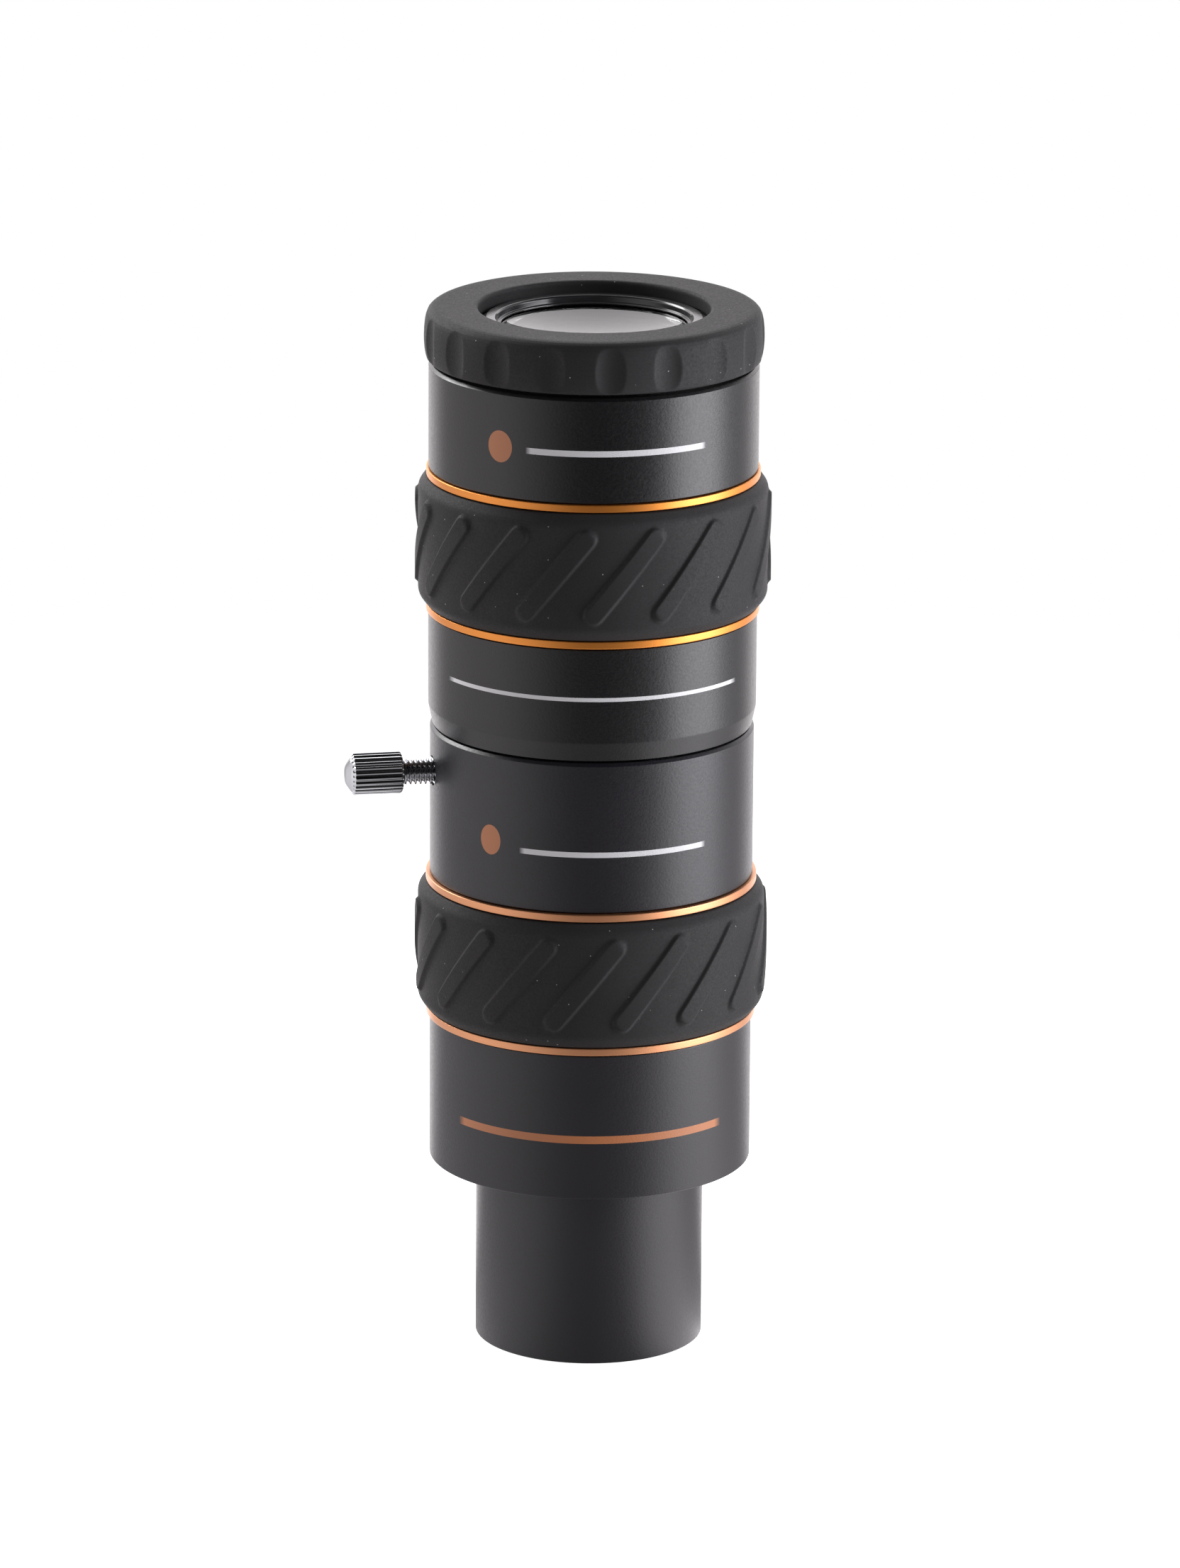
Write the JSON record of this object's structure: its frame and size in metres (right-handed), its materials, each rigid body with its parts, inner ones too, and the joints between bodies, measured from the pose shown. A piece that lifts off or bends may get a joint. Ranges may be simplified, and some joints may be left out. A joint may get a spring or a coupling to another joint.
{
  "type": "barlow lens",
  "caption": "Push-fit focal extender with an eyepiece clamped in its socket by a thumbscrew, ribbed rubber grips, coloured trim rings and a twist-up eyecup.",
  "frame": {"origin": "on the optical axis, in the plane of the nose's open end, which the part stands on", "axes": "+Z along the optical axis, from the nose up to the eyecup; -Y is the front; -X is the side that the thumbscrew comes out of, turned 10.9 degrees towards the front"},
  "size_m": [0.0589, 0.049, 0.1472],
  "materials": {
    "black_anodised": "satin black anodised, fine grain",
    "orange_anodised": "glossy orange anodised",
    "black_rubber": "matte moulded rubber",
    "chrome": "bright plated",
    "brass": "turned brass",
    "inside_black": "matt black anodised",
    "coated_glass": "polished and coated"
  },
  "bodies": {
    "barlow": {"nose_barrel": "black_anodised", "lens_cell": "inside_black", "cell_retaining_ring": "inside_black", "crown_lens": "coated_glass", "flint_lens": "coated_glass", "cell_spacer_ring": "inside_black", "rear_lens": "coated_glass", "lower_body": "black_anodised", "upper_body": "black_anodised", "glare_baffle": "inside_black", "lower_trim_ring": "orange_anodised", "lower_grip": "black_rubber", "upper_trim_ring": "orange_anodised"},
    "compression_ring": {"compression_ring": "brass"},
    "eyepiece": {"eyepiece_barrel": "chrome", "field_lens_ring": "inside_black", "field_lens": "coated_glass", "field_stop": "inside_black", "eyepiece_lower_body": "black_anodised", "eyepiece_lower_trim_ring": "orange_anodised", "eyepiece_grip": "black_rubber", "eyepiece_upper_trim_ring": "orange_anodised", "eyepiece_upper_body": "black_anodised", "optics_tube": "inside_black", "eye_lens_ring": "inside_black", "eye_lens": "coated_glass", "upper_lens_spacer": "inside_black", "upper_pair_crown": "coated_glass", "upper_pair_flint": "coated_glass", "middle_lens_spacer": "inside_black", "lower_pair_flint": "coated_glass", "lower_pair_crown": "coated_glass", "lower_lens_spacer": "inside_black", "eyecup_guide_sleeve": "inside_black"},
    "eyecup_lift_ring": {"eyecup_key_ring": "inside_black"},
    "eyecup": {"eyecup_sleeve": "inside_black", "eyecup": "black_rubber"},
    "screw_tip": {"thumbscrew_tip": "brass"},
    "thumbscrew": {"thumbscrew": "chrome"}
  },
  "joints": [
    {"name": "eyepiece_turn", "type": "hinge", "parent": "barlow", "child": "compression_ring", "pos_m": [0, 0, 0.0824], "axis": [0, 0, 1], "continuous": true},
    {"name": "eyepiece_pull", "type": "slide", "parent": "compression_ring", "child": "eyepiece", "axis": [0, 0, 1], "range_m": [0, 0.03]},
    {"name": "eyecup_lift", "type": "slide", "parent": "eyepiece", "child": "eyecup_lift_ring", "axis": [0, 0, 1], "range_m": [0, 0.006]},
    {"name": "eyecup_turn", "type": "hinge", "parent": "eyecup_lift_ring", "child": "eyecup", "pos_m": [0, 0, 0.14], "axis": [0, 0, 1], "range_deg": [0, 300]},
    {"name": "screw_travel", "type": "slide", "parent": "barlow", "child": "screw_tip", "axis": [-0.982, -0.1891, 0], "range_m": [0, 0.0035]},
    {"name": "screw_turn", "type": "hinge", "parent": "screw_tip", "child": "thumbscrew", "pos_m": [0, 0, 0.0824], "axis": [-0.982, -0.1891, 0], "range_deg": [0, 1800]}
  ],
  "couplings": [
    {"joint": "eyecup_turn", "follows": "eyecup_lift", "rad_per_m": 872.6},
    {"joint": "screw_turn", "follows": "screw_travel", "rad_per_m": 8975.9}
  ]
}
